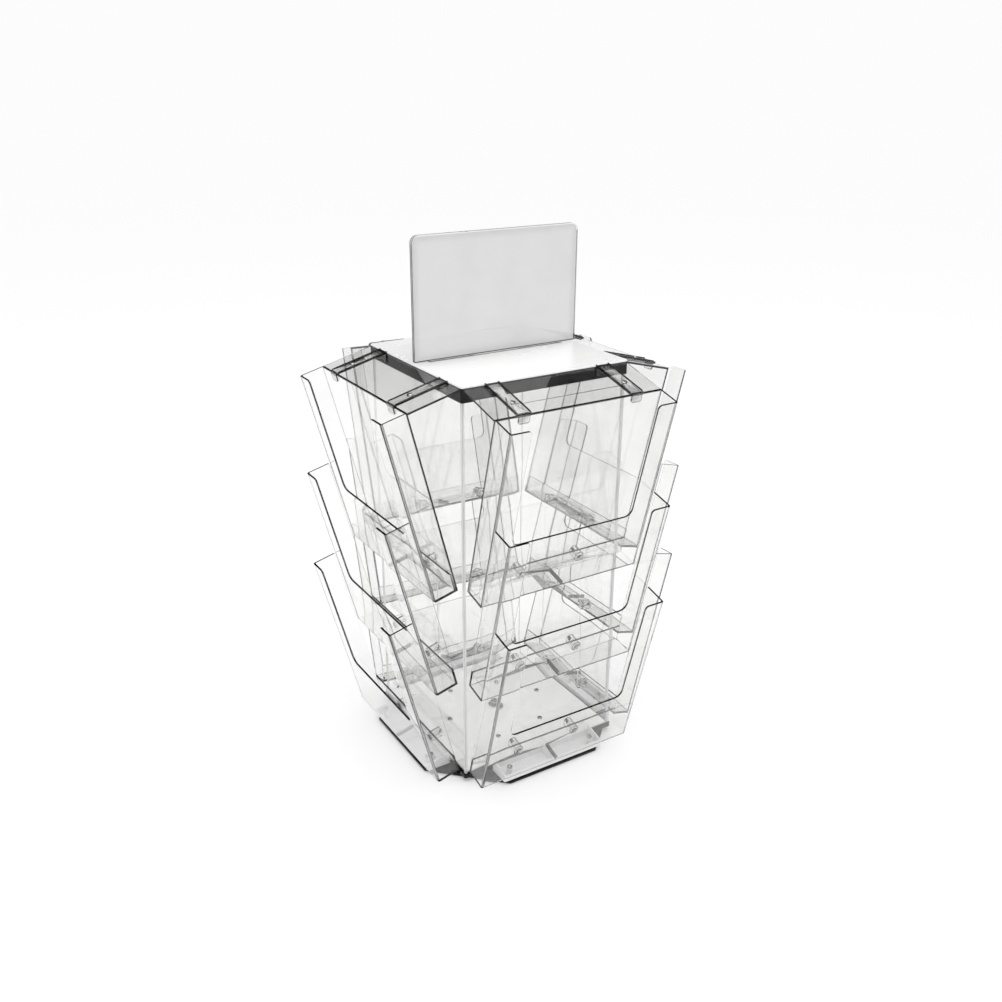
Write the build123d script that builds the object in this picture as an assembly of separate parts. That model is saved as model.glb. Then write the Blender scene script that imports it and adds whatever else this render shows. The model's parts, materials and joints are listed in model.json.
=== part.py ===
from build123d import *
import math
import os

# Turning counter rack for A4 leaflets: twelve clear pockets in three tiers round a
# square clear core, which turns on a flat ball bearing above an eight-sided base.
# The frame: millimetres, +Z up, origin on the turning axis in the plane of the feet.
# Each side is modelled as the front side, which faces -Y, and turned about Z.

# ---------------------------------------------------------------- driving dimensions
LEAFLET_WIDTH = 210.0          # A4, upright
LEAFLET_PLAY = 6.5             # room for fingers on each side of a leaflet
WALL = 2.5                     # pocket wall
POCKET_WIDTH = LEAFLET_WIDTH + 2 * (LEAFLET_PLAY + WALL)
POCKET_DEPTH = 31.5            # outside, square to the leaflets
POCKET_HEIGHT = 238.0          # outside, along the slope
TILT = 14.6                    # pocket tops lean out by this many degrees
TIERS = 3
TIER_PITCH = 128.5             # vertical step from one tier to the next
POCKET_TOP_Z = 509.0           # top edge of the highest pockets' back plane
POCKET_TOP_OUT = 183.8         # and its distance from the axis
FINGER_CUT_HALF = 86.0         # half width of the cut-out in the front wall
FINGER_CUT_DEPTH = 154.0       # its depth below the top edge
FINGER_CUT_RADIUS = 10.0
STRIP_RADIUS = 5.0             # rounding at the top inner corner of each front strip
CORNER_RADIUS = 3.0            # outer front corners of a pocket
RAIL_HEIGHT = 24.0             # low wall along the bottom of the open back
RIB_WIDTH = 3.0                # rib across the middle of the floor
RIB_HEIGHT = 4.0
RIVET_HALF_SPACING = 44.0      # rivets at +-44 along the rail
RIVET_ABOVE_BOTTOM = 11.5
RIVET_RADIUS = 2.5
RIVET_HEAD_RADIUS = 4.6
RIVET_HEAD = 2.0
RIVET_HEAD_ROUND = 1.2
RIVET_TAIL = 3.0
SPACER_RADIUS = 7.0            # clear tubes that stand the pockets off the core
SPACER_BORE = 5.4

FEET_THICKNESS = 1.0
FOOT_RADIUS = 9.0
FOOT_CIRCLE = 146.0
BASE_THICKNESS = 3.5
BASE_FLAT_OUT = 150.0          # distance of the four long edges from the axis
BASE_FLAT_HALF = 68.0          # half their length; slanting edges join them
BASE_CHAMFER = 0.4
SPIN_GAP = 1.0                 # air between the base and what turns above it

CORE_HALF = 116.25             # half side of both rims
PANEL_OUT = 114.0              # outer face of the core panels
PANEL_THICKNESS = 4.0
RIM_HEIGHT = 6.0
RIM_OPENING_HALF = 86.0
GROOVE_DEPTH = 3.0
DECK_THICKNESS = 3.0
CAP_HEIGHT = 17.0
CAP_WEB = 3.0
CAP_OPENING_HALF = 95.0
TOP_PLATE_THICKNESS = 2.0
TOP_PLATE_Z = 527.0            # underside of the white top plate
TOP_PLATE_ROUND = 0.6
SQUARE_RADIUS = 3.0            # rounding of the square rims' upright corners
DECK_PLAY = 0.2                # between the deck and the panels round it
SOCKET_WALL_X = 6.0
SOCKET_WALL_Y = 5.0

BEARING_INNER = 50.0
BEARING_OUTER = 75.0
BALL_TRACK = 62.5
BALL_RADIUS = 2.0
BALL_COUNT = 24
RACE_THICKNESS = 2.1
RACE_CLEARANCE = 0.3
CAGE_THICKNESS = 1.2
CAGE_HALF_WIDTH = 5.0
RACE_SCREW_CIRCLE = 70.5
RACE_SCREWS = 6
BALL_PLAY = 0.02

SCREW_RADIUS = 1.5             # shank of the small screws
SUNK_HEAD_RADIUS = 3.0
SUNK_HEAD_DEPTH = 1.6
ROUND_HEAD_RADIUS = 3.4
ROUND_HEAD_HEIGHT = 1.8
ROUND_HEAD_ROUND = 0.9
SCREW_BITE = 1.8               # how far a race screw goes into its race

SPINDLE_RADIUS = 3.0
SPINDLE_HEAD_RADIUS = 6.0
SPINDLE_HEAD_HEIGHT = 3.0
RUNNING_CLEARANCE = 0.05
BUSH_RADIUS = 5.0
BUSH_FLANGE_RADIUS = 9.0
BUSH_FLANGE = 1.5
WASHER_THICKNESS = 1.0
NUT_HEIGHT = 5.0
NUT_ACROSS_FLATS = 10.0
BOLT_PAST_NUT = 1.5

ROOF_THICKNESS = 2.5
BACK_SHEET_THICKNESS = 2.0
ARM_CENTRE = 77.0              # clip arms at +-77 along each side
ARM_WIDTH = 19.0
ARM_WALL = 1.6
ARM_SIDE_HEIGHT = 2.8
ARM_FLANGE_DROP = 13.0         # how far the arm's inner end runs down the cap rim
HOOK_WIDTH = 15.0
HOOK_DROP = 10.0
HOOK_RADIUS = 3.0
FLANGE_ABOVE_RIM = 1.5
ARM_SCREW_OUT = 159.5          # distance of the arm's screw from the axis
ARM_SCREW_RADIUS = 1.75
ARM_SCREW_PAST = 1.5           # length that shows under the roof plate

BRACKET_END = 75.5             # end ribs of the foot bracket, from the middle
BRACKET_OUT = 149.0            # just inside the base, whose black edge stays in sight
BRACKET_WALL = 2.0
BRACKET_BOTTOM = 5.8
BRACKET_BACK_TOP = 19.0
BRACKET_POST_RADIUS = 4.0
BRACKET_SCREW_BELOW = 8.0      # length of screw in the bracket's post
BRACKET_SCREW = 63.5
BRACKET_SCREW_IN = 14.2        # screw's distance from the pocket's back plane

SIGN_HALF_WIDTH = 115.6
SIGN_FRONT_Y = -5.8
SIGN_BOTTOM_Z = 529.2
SIGN_CORNER_Z = 531.0          # the two bottom corners stand this much higher
SIGN_CORNER_AT = 96.0
SIGN_TOP_Z = 678.0
SIGN_FRONT_SHEET = 2.0
SIGN_GAP = 1.2
SIGN_BACK_SHEET = 2.5
SIGN_RADIUS = 9.0
SIGN_EDGE = 1.0                # width of the spacers that hold the sheets apart
TONGUE_HALF = 32.0
TONGUE_DEPTH = 22.0
CARD_THICKNESS = 0.6
CARD_PLAY = 0.1                # under the card
CARD_BELOW_TOP = 1.5
SLIDING_CLEARANCE = 0.3

BEYOND = 200.0                 # cutting blocks reach past everything they trim

# ---------------------------------------------------------------- heights worked out
BASE_TOP = FEET_THICKNESS + BASE_THICKNESS
RIM_BOTTOM = BASE_TOP + SPIN_GAP
RIM_TOP = RIM_BOTTOM + RIM_HEIGHT
DECK_TOP = RIM_TOP + DECK_THICKNESS
BALL_Z = (BASE_TOP + RIM_TOP) / 2
CAP_BOTTOM = TOP_PLATE_Z - CAP_HEIGHT
PANEL_BOTTOM = RIM_TOP - GROOVE_DEPTH
PANEL_TOP = TOP_PLATE_Z - CAP_WEB
TOP_OF_PLATE = TOP_PLATE_Z + TOP_PLATE_THICKNESS
PANEL_IN = PANEL_OUT - PANEL_THICKNESS
SIGN_GAP_FRONT = SIGN_FRONT_Y + SIGN_FRONT_SHEET
SIGN_GAP_BACK = SIGN_GAP_FRONT + SIGN_GAP
SIGN_BACK_Y = SIGN_GAP_BACK + SIGN_BACK_SHEET

SIDES = {"front": 0, "right": 90, "back": 180, "left": 270}
TIER_NAMES = ["top", "middle", "bottom"]

parts = {}


# ---------------------------------------------------------------- small helpers
def slab(x, y, z):
    """A block between three (low, high) pairs."""
    spans = (x, y, z)
    middle = [(low + high) / 2 for low, high in spans]
    return Pos(*middle) * Box(*[high - low for low, high in spans])


def disc(radius, z, x=0.0, y=0.0):
    """An upright cylinder between two heights."""
    return Pos(x, y, (z[0] + z[1]) / 2) * Cylinder(radius, z[1] - z[0])


def square_block(half, z, radius=SQUARE_RADIUS):
    """A square block about the axis with rounded upright corners."""
    block = slab((-half, half), (-half, half), z)
    return fillet(block.edges().filter_by(Axis.Z), radius)


def round_the_axis(count, radius, start=0.0):
    """Points evenly spaced on a circle about the axis."""
    turns = [math.radians(start + 360 * k / count) for k in range(count)]
    return [(radius * math.cos(a), radius * math.sin(a)) for a in turns]


def on_side(side, shape):
    """Turns a shape made for the front side to another side."""
    return Rot(0, 0, SIDES[side]) * shape


def pocket_frame(tier):
    """Pocket frame: x along the side, -y out through the leaflets, z up the slope."""
    return Pos(0, -POCKET_TOP_OUT, POCKET_TOP_Z - tier * TIER_PITCH) * Rot(TILT, 0, 0)


def round_head(z, x, y):
    """The domed head of a small screw that stands on height z."""
    head = disc(ROUND_HEAD_RADIUS, (z, z + ROUND_HEAD_HEIGHT), x, y)
    return fillet(head.edges().group_by(Axis.Z)[-1], ROUND_HEAD_ROUND)


def rivet_cylinder(radius, x, y_low, y_high):
    """A cylinder square to a pocket's back, at the height of its rivets."""
    height = RIVET_ABOVE_BOTTOM - POCKET_HEIGHT
    return Pos(x, (y_low + y_high) / 2, height) * Rot(90, 0, 0) * Cylinder(radius, y_high - y_low)


def group(shapes):
    """Separate identical solids kept in one node."""
    return Compound(children=list(shapes))


# ---------------------------------------------------------------- base and bearing
def base_outline():
    flat, half = BASE_FLAT_OUT, BASE_FLAT_HALF
    corners = [(flat, half), (half, flat), (-half, flat), (-flat, half),
               (-flat, -half), (-half, -flat), (half, -flat), (flat, -half)]
    return Polygon(*corners, align=None)


def countersink(radius, shank, depth, z, x=0.0, y=0.0):
    """A flat-headed screw's head, wide at the bottom and narrow at its top."""
    return Pos(x, y, z + depth / 2) * Cone(radius, shank, depth)


def make_base():
    plate = Pos(0, 0, FEET_THICKNESS) * extrude(base_outline(), BASE_THICKNESS)
    plate = chamfer(plate.edges().group_by(Axis.Z)[-1], BASE_CHAMFER)
    screws = []
    for x, y in round_the_axis(RACE_SCREWS, RACE_SCREW_CIRCLE, 30):
        head = countersink(SUNK_HEAD_RADIUS, SCREW_RADIUS, SUNK_HEAD_DEPTH, FEET_THICKNESS, x, y)
        shank_z = (FEET_THICKNESS + SUNK_HEAD_DEPTH, BASE_TOP + SCREW_BITE)
        screws.append(head + disc(SCREW_RADIUS, shank_z, x, y))
        plate -= head
        plate -= disc(SCREW_RADIUS, (FEET_THICKNESS, BASE_TOP), x, y)
    bolt_head = countersink(SPINDLE_HEAD_RADIUS, SPINDLE_RADIUS, SPINDLE_HEAD_HEIGHT, FEET_THICKNESS)
    plate -= bolt_head
    plate -= disc(SPINDLE_RADIUS, (FEET_THICKNESS, BASE_TOP))
    parts["base_plate"] = plate
    parts["race_screws_lower"] = group(screws)
    feet = []
    vertex_angle = math.degrees(math.atan2(BASE_FLAT_HALF, BASE_FLAT_OUT))
    for quarter in range(4):
        for angle in (90 * quarter - vertex_angle, 90 * quarter + vertex_angle):
            x = FOOT_CIRCLE * math.cos(math.radians(angle))
            y = FOOT_CIRCLE * math.sin(math.radians(angle))
            feet.append(disc(FOOT_RADIUS, (0, FEET_THICKNESS), x, y))
    parts["base_feet"] = group(feet)

    nut_bottom = DECK_TOP + BUSH_FLANGE + SLIDING_CLEARANCE + WASHER_THICKNESS
    nut_top = nut_bottom + NUT_HEIGHT
    shank_z = (FEET_THICKNESS + SPINDLE_HEAD_HEIGHT, nut_top + BOLT_PAST_NUT)
    parts["spindle_bolt"] = bolt_head + disc(SPINDLE_RADIUS, shank_z)
    washer_z = (nut_bottom - WASHER_THICKNESS, nut_bottom)
    parts["spindle_washer"] = disc(BUSH_FLANGE_RADIUS, washer_z) - disc(SPINDLE_RADIUS, washer_z)
    nut_outline = RegularPolygon(NUT_ACROSS_FLATS / 2, 6, major_radius=False)
    nut = Pos(0, 0, nut_bottom) * extrude(nut_outline, NUT_HEIGHT)
    parts["spindle_nut"] = nut - disc(SPINDLE_RADIUS, (nut_bottom, nut_top))


def make_bearing():
    track = Pos(0, 0, BALL_Z) * Torus(BALL_TRACK, BALL_RADIUS + RACE_CLEARANCE)
    lower_z = (BASE_TOP, BASE_TOP + RACE_THICKNESS)
    upper_z = (RIM_TOP - RACE_THICKNESS, RIM_TOP)
    lower = disc(BEARING_OUTER, lower_z) - disc(BEARING_INNER, lower_z) - track
    upper = disc(BEARING_OUTER, upper_z) - disc(BEARING_INNER, upper_z) - track
    for x, y in round_the_axis(RACE_SCREWS, RACE_SCREW_CIRCLE, 30):
        lower -= disc(SCREW_RADIUS, (BASE_TOP, BASE_TOP + SCREW_BITE), x, y)
    screws = []
    for x, y in round_the_axis(RACE_SCREWS, RACE_SCREW_CIRCLE):
        shank_z = (RIM_TOP - SCREW_BITE, DECK_TOP)
        upper -= disc(SCREW_RADIUS, shank_z, x, y)
        screws.append(round_head(DECK_TOP, x, y) + disc(SCREW_RADIUS, shank_z, x, y))
    parts["bearing_lower_race"] = lower
    parts["bearing_upper_race"] = upper
    parts["race_screws_upper"] = group(screws)

    cage_z = (BALL_Z - CAGE_THICKNESS / 2, BALL_Z + CAGE_THICKNESS / 2)
    cage = disc(BALL_TRACK + CAGE_HALF_WIDTH, cage_z) - disc(BALL_TRACK - CAGE_HALF_WIDTH, cage_z)
    balls = []
    for x, y in round_the_axis(BALL_COUNT, BALL_TRACK):
        cage -= disc(BALL_RADIUS, cage_z, x, y)
        balls.append(Pos(x, y, BALL_Z) * Sphere(BALL_RADIUS - BALL_PLAY))
    parts["bearing_cage"] = cage
    parts["bearing_balls"] = group(balls)


# ---------------------------------------------------------------- core
def make_core():
    rim = square_block(CORE_HALF, (RIM_BOTTOM, RIM_TOP))
    rim -= slab(*[(-RIM_OPENING_HALF, RIM_OPENING_HALF)] * 2, (RIM_BOTTOM, RIM_TOP))
    groove_z = (PANEL_BOTTOM, RIM_TOP)
    groove = slab(*[(-PANEL_OUT, PANEL_OUT)] * 2, groove_z)
    groove -= slab(*[(-PANEL_IN, PANEL_IN)] * 2, groove_z)
    parts["bottom_rim"] = rim - groove

    deck_half = PANEL_IN - DECK_PLAY
    deck = slab(*[(-deck_half, deck_half)] * 2, (RIM_TOP, DECK_TOP))
    deck -= disc(BUSH_RADIUS, (RIM_TOP, DECK_TOP))
    for x, y in round_the_axis(RACE_SCREWS, RACE_SCREW_CIRCLE):
        deck -= disc(SCREW_RADIUS, (RIM_TOP, DECK_TOP), x, y)
    parts["deck_plate"] = deck

    bush = disc(BUSH_RADIUS, (RIM_TOP, DECK_TOP))
    bush += disc(BUSH_FLANGE_RADIUS, (DECK_TOP, DECK_TOP + BUSH_FLANGE))
    bore_radius = SPINDLE_RADIUS + RUNNING_CLEARANCE
    parts["spindle_bush"] = bush - disc(bore_radius, (RIM_TOP, DECK_TOP + BUSH_FLANGE))

    panel = slab((-PANEL_OUT, PANEL_IN), (-PANEL_OUT, -PANEL_IN), (PANEL_BOTTOM, PANEL_TOP))
    for tier in range(TIERS):
        for x in (-RIVET_HALF_SPACING, RIVET_HALF_SPACING):
            panel -= pocket_frame(tier) * rivet_cylinder(RIVET_RADIUS, x, 0, POCKET_DEPTH)
    for side in SIDES:
        parts[f"core_panel_{side}"] = on_side(side, panel)

    cap = square_block(CORE_HALF, (CAP_BOTTOM, TOP_PLATE_Z))
    cap -= slab(*[(-PANEL_OUT, PANEL_OUT)] * 2, (CAP_BOTTOM, PANEL_TOP))
    cap -= slab(*[(-CAP_OPENING_HALF, CAP_OPENING_HALF)] * 2, (PANEL_TOP, TOP_PLATE_Z))
    parts["cap_rim"] = cap

    slot_x = (-TONGUE_HALF - SLIDING_CLEARANCE, TONGUE_HALF + SLIDING_CLEARANCE)
    slot_y = (SIGN_GAP_BACK - SLIDING_CLEARANCE, SIGN_BACK_Y + SLIDING_CLEARANCE)
    top = square_block(CORE_HALF, (TOP_PLATE_Z, TOP_OF_PLATE))
    top = fillet(top.edges().group_by(Axis.Z)[-1], TOP_PLATE_ROUND)
    parts["top_plate"] = top - slab(slot_x, slot_y, (TOP_PLATE_Z, TOP_OF_PLATE))
    socket_z = (TOP_PLATE_Z - TONGUE_DEPTH, TOP_PLATE_Z)
    outer_x = (slot_x[0] - SOCKET_WALL_X, slot_x[1] + SOCKET_WALL_X)
    outer_y = (slot_y[0] - SOCKET_WALL_Y, slot_y[1] + SOCKET_WALL_Y)
    parts["sign_socket"] = slab(outer_x, outer_y, socket_z) - slab(slot_x, slot_y, socket_z)


# ---------------------------------------------------------------- pockets
def make_pocket(tier):
    half = POCKET_WIDTH / 2
    shell = slab((-half, half), (-POCKET_DEPTH, 0), (-POCKET_HEIGHT, 0))
    upright = shell.edges().filter_by(Axis.Z).group_by(Axis.Y)[0]
    toe = shell.edges().filter_by(Axis.X).group_by(Axis.Z)[0].group_by(Axis.Y)[0]
    shell = fillet(upright + toe, CORNER_RADIUS)
    inner_half = half - WALL
    hollow = slab((-inner_half, inner_half), (WALL - POCKET_DEPTH, WALL), (WALL - POCKET_HEIGHT, WALL))
    upright = hollow.edges().filter_by(Axis.Z).group_by(Axis.Y)[0]
    hollow = fillet(upright, CORNER_RADIUS - WALL + 0.5)
    pocket = shell - hollow

    cut = slab((-FINGER_CUT_HALF, FINGER_CUT_HALF), (-POCKET_DEPTH - 1, WALL + 1 - POCKET_DEPTH),
               (-FINGER_CUT_DEPTH, 10))
    cut = fillet(cut.edges().filter_by(Axis.Y).group_by(Axis.Z)[0], FINGER_CUT_RADIUS)
    pocket -= cut
    strip_tops = [edge for edge in pocket.edges().filter_by(Axis.Y)
                  if abs(abs(edge.center().X) - FINGER_CUT_HALF) < 0.1 and edge.center().Z > -0.1]
    pocket = fillet(strip_tops, STRIP_RADIUS)

    pocket += slab((-inner_half - 0.5, inner_half + 0.5), (-WALL, 0),
                   (-POCKET_HEIGHT + 0.5, RAIL_HEIGHT - POCKET_HEIGHT))
    pocket += slab((-RIB_WIDTH / 2, RIB_WIDTH / 2), (WALL - POCKET_DEPTH - 0.5, -WALL + 0.5),
                   (-POCKET_HEIGHT + 0.5, WALL + RIB_HEIGHT - POCKET_HEIGHT))
    for x in (-RIVET_HALF_SPACING, RIVET_HALF_SPACING):
        pocket -= rivet_cylinder(RIVET_RADIUS, x, -WALL - 1, 1)
    if tier == TIERS - 1:
        for x in (-BRACKET_SCREW, BRACKET_SCREW):
            pocket -= disc(SCREW_RADIUS, (-POCKET_HEIGHT, WALL - POCKET_HEIGHT), x, -BRACKET_SCREW_IN)
    return pocket_frame(tier) * pocket


def make_pockets():
    core_side = slab((-BEYOND, BEYOND), (-PANEL_OUT, 0), (0, TOP_PLATE_Z))
    tail_from = (POCKET_TOP_OUT - PANEL_IN) / math.cos(math.radians(TILT))
    tail_from -= (POCKET_HEIGHT - RIVET_ABOVE_BOTTOM) * math.tan(math.radians(TILT))
    rivets = []
    spacers = []
    for tier in range(TIERS):
        pocket = make_pocket(tier)
        sheet = BACK_SHEET_THICKNESS if tier == 0 else 0.0
        for side in SIDES:
            parts[f"pocket_{TIER_NAMES[tier]}_{side}"] = on_side(side, pocket)
            for x in (-RIVET_HALF_SPACING, RIVET_HALF_SPACING):
                spacer = rivet_cylinder(SPACER_RADIUS, x, sheet, POCKET_DEPTH)
                spacer -= rivet_cylinder(SPACER_BORE, x, sheet, POCKET_DEPTH)
                spacers.append(on_side(side, pocket_frame(tier) * spacer - core_side))
                head = rivet_cylinder(RIVET_HEAD_RADIUS, x, -WALL - RIVET_HEAD, -WALL)
                head = fillet(head.edges().group_by(Axis.Y)[0], RIVET_HEAD_ROUND)
                shank = rivet_cylinder(RIVET_RADIUS, x, -WALL, tail_from + RIVET_TAIL)
                rivets.append(on_side(side, pocket_frame(tier) * (head + shank)))
    parts["pocket_rivets"] = group(rivets)
    parts["pocket_spacers"] = group(spacers)


# ---------------------------------------------------------------- roof of each side
def make_roofs():
    frame = pocket_frame(0)
    half = POCKET_WIDTH / 2
    rim_side = slab((-BEYOND, BEYOND), (-CORE_HALF, 0), (CAP_BOTTOM - BEYOND, CAP_BOTTOM + BEYOND))
    sheet = slab((-half, half), (0, BACK_SHEET_THICKNESS), (-POCKET_HEIGHT, 0))
    for x in (-RIVET_HALF_SPACING, RIVET_HALF_SPACING):
        sheet -= rivet_cylinder(RIVET_RADIUS, x, 0, BACK_SHEET_THICKNESS)
    roof = slab((-half, half), (BACK_SHEET_THICKNESS, CORE_HALF), (-ROOF_THICKNESS, 0))
    screw_in = (POCKET_TOP_OUT - ARM_SCREW_OUT) / math.cos(math.radians(TILT))
    arms = []
    screws = []
    roof_world = frame * roof - rim_side
    for x in (-ARM_CENTRE, ARM_CENTRE):
        low, high = x - ARM_WIDTH / 2, x + ARM_WIDTH / 2
        arm = slab((low, high), (-ARM_WALL, CORE_HALF), (0, ARM_WALL))
        for edge in (low, high - ARM_WALL):
            arm += slab((edge, edge + ARM_WALL), (BACK_SHEET_THICKNESS, CORE_HALF), (0, ARM_SIDE_HEIGHT))
        hook = slab((x - HOOK_WIDTH / 2, x + HOOK_WIDTH / 2), (-ARM_WALL, 0), (-HOOK_DROP, ARM_WALL / 2))
        hook = fillet(hook.edges().filter_by(Axis.Y).group_by(Axis.Z)[0], HOOK_RADIUS)
        arm += hook
        arm -= disc(ARM_SCREW_RADIUS, (0, ARM_WALL), x, screw_in)
        arm = frame * arm - rim_side
        flange_z = (TOP_PLATE_Z - ARM_FLANGE_DROP, TOP_PLATE_Z + FLANGE_ABOVE_RIM)
        flange = slab((low, high), (-CORE_HALF - ARM_WALL, -CORE_HALF), flange_z)
        roof_world -= flange
        arms.append(arm + flange)
        roof_world -= frame * disc(ARM_SCREW_RADIUS, (-ROOF_THICKNESS, 0), x, screw_in)
        shank = disc(ARM_SCREW_RADIUS, (-ROOF_THICKNESS - ARM_SCREW_PAST, ARM_WALL), x, screw_in)
        screws.append(frame * (round_head(ARM_WALL, x, screw_in) + shank))
    all_screws = []
    for side in SIDES:
        parts[f"back_sheet_{side}"] = on_side(side, frame * sheet)
        parts[f"roof_plate_{side}"] = on_side(side, roof_world)
        parts[f"clip_arms_{side}"] = on_side(side, group(arms))
        all_screws += [on_side(side, screw) for screw in screws]
    parts["clip_arm_screws"] = group(all_screws)


# ---------------------------------------------------------------- foot brackets
def make_brackets():
    frame = pocket_frame(TIERS - 1)
    above_floor = frame * slab((-BEYOND, BEYOND), (-BEYOND, BEYOND), (-POCKET_HEIGHT, BEYOND))
    wide = (-BRACKET_END - BRACKET_WALL / 2, BRACKET_END + BRACKET_WALL / 2)
    near, far = -CORE_HALF, -BRACKET_OUT
    tall = (BRACKET_BOTTOM, BRACKET_BOTTOM + POCKET_DEPTH)
    bracket = slab(wide, (far, near), (BRACKET_BOTTOM, BRACKET_BOTTOM + BRACKET_WALL))
    bracket += slab(wide, (near - BRACKET_WALL, near), (BRACKET_BOTTOM, BRACKET_BACK_TOP))
    bracket += slab(wide, (far, far + BRACKET_WALL), tall)
    for x in (-BRACKET_END, 0, BRACKET_END):
        bracket += slab((x - BRACKET_WALL / 2, x + BRACKET_WALL / 2), (far, near), tall)
    holes = []
    screws = []
    for x in (-BRACKET_SCREW, BRACKET_SCREW):
        post_z = (-POCKET_HEIGHT - POCKET_DEPTH, -POCKET_HEIGHT)
        post = disc(BRACKET_POST_RADIUS, post_z, x, -BRACKET_SCREW_IN)
        bracket += frame * post - slab((-BEYOND, BEYOND), (-BEYOND, 0), (-BEYOND, BRACKET_BOTTOM))
        shank_z = (-POCKET_HEIGHT - BRACKET_SCREW_BELOW, WALL - POCKET_HEIGHT)
        shank = disc(SCREW_RADIUS, shank_z, x, -BRACKET_SCREW_IN)
        holes.append(frame * shank)
        screws.append(frame * (round_head(WALL - POCKET_HEIGHT, x, -BRACKET_SCREW_IN) + shank))
    bracket -= above_floor
    for hole in holes:
        bracket -= hole
    all_screws = []
    for side in SIDES:
        parts[f"foot_bracket_{side}"] = on_side(side, bracket)
        all_screws += [on_side(side, screw) for screw in screws]
    parts["foot_bracket_screws"] = group(all_screws)


# ---------------------------------------------------------------- sign on the top
def sign_sheet(y):
    """One sheet of the sign: rounded top corners, bottom corners cut a little higher."""
    sheet = slab((-SIGN_HALF_WIDTH, SIGN_HALF_WIDTH), y, (SIGN_CORNER_Z, SIGN_TOP_Z))
    sheet = fillet(sheet.edges().filter_by(Axis.Y).group_by(Axis.Z)[-1], SIGN_RADIUS)
    return sheet + slab((-SIGN_CORNER_AT, SIGN_CORNER_AT), y, (SIGN_BOTTOM_Z, SIGN_CORNER_Z))


def make_sign():
    back = sign_sheet((SIGN_GAP_BACK, SIGN_BACK_Y))
    tongue_z = (TOP_OF_PLATE - TONGUE_DEPTH, SIGN_BOTTOM_Z)
    back += slab((-TONGUE_HALF, TONGUE_HALF), (SIGN_GAP_BACK, SIGN_BACK_Y), tongue_z)
    parts["sign_back_sheet"] = back
    parts["sign_front_sheet"] = sign_sheet((SIGN_FRONT_Y, SIGN_GAP_FRONT))

    gap_y = (SIGN_GAP_FRONT, SIGN_GAP_BACK)
    bottom_z = (SIGN_CORNER_Z, SIGN_CORNER_Z + SIGN_EDGE)
    side_z = (bottom_z[1], SIGN_TOP_Z - SIGN_RADIUS)
    spacers = [slab((-SIGN_HALF_WIDTH, SIGN_HALF_WIDTH), gap_y, bottom_z)]
    for inner in (-SIGN_HALF_WIDTH, SIGN_HALF_WIDTH - SIGN_EDGE):
        spacers.append(slab((inner, inner + SIGN_EDGE), gap_y, side_z))
    parts["sign_spacers"] = group(spacers)

    card_half = SIGN_HALF_WIDTH - SIGN_EDGE - SLIDING_CLEARANCE
    middle = (SIGN_GAP_FRONT + SIGN_GAP_BACK) / 2
    card_y = (middle - CARD_THICKNESS / 2, middle + CARD_THICKNESS / 2)
    card = slab((-card_half, card_half), card_y, (bottom_z[1] + CARD_PLAY, SIGN_TOP_Z - CARD_BELOW_TOP))
    top_corners = card.edges().filter_by(Axis.Y).group_by(Axis.Z)[-1]
    parts["sign_card"] = fillet(top_corners, SIGN_RADIUS - CARD_BELOW_TOP)


# ---------------------------------------------------------------- write the parts
make_base()
make_bearing()
make_core()
make_pockets()
make_roofs()
make_brackets()
make_sign()

os.makedirs("parts", exist_ok=True)
for name, shape in parts.items():
    export_step(shape, f"parts/{name}.step")
print(len(parts), "nodes")
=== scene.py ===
import json
import math
import bmesh
import bpy
from mathutils import Matrix, Vector


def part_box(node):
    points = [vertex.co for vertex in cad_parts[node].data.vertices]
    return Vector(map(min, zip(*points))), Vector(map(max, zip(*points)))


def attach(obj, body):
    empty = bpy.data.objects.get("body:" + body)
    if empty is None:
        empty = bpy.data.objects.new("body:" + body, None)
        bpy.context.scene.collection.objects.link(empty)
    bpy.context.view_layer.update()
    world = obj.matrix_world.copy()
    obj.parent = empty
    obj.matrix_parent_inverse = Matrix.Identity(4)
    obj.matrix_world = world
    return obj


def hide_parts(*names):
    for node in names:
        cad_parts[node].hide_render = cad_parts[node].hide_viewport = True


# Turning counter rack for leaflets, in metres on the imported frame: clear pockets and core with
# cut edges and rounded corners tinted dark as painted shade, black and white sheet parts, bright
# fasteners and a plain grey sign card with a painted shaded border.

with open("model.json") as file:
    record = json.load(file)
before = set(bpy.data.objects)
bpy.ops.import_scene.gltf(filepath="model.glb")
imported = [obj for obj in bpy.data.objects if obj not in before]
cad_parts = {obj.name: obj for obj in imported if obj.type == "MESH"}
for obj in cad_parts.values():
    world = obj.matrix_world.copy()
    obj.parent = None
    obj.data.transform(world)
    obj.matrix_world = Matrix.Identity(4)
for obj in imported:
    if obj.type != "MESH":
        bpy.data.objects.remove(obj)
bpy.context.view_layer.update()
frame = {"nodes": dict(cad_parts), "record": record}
record = frame["record"]
SLOT_OF = {part["node"]: part["material_slot"] for part in record["subparts"]}
BODY_OF = {node: body for body, nodes in record["behaviour"]["bodies"].items() for node in nodes}

MM = 0.001

# ---------------------------------------------------------------- sizes shared with the model
TILT = math.radians(14.6)
TIERS = ("top", "middle", "bottom")
TIER_PITCH = 128.5 * MM
POCKET_TOP_Z = 509.0 * MM
POCKET_TOP_OUT = 183.8 * MM
POCKET_HEIGHT = 238.0 * MM
WALL = 2.5 * MM
SIDES = {"front": 0, "right": 90, "back": 180, "left": 270}

RIVET_AT = 44.0 * MM
RIVET_UP = 11.5 * MM
RIVET_HEAD_RADIUS = 4.6 * MM
RIVET_HEAD_HEIGHT = 2.0 * MM
RIVET_SHANK_RADIUS = 2.4 * MM
RIVET_TAIL = 3.0 * MM          # length of rivet inside the core

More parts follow.
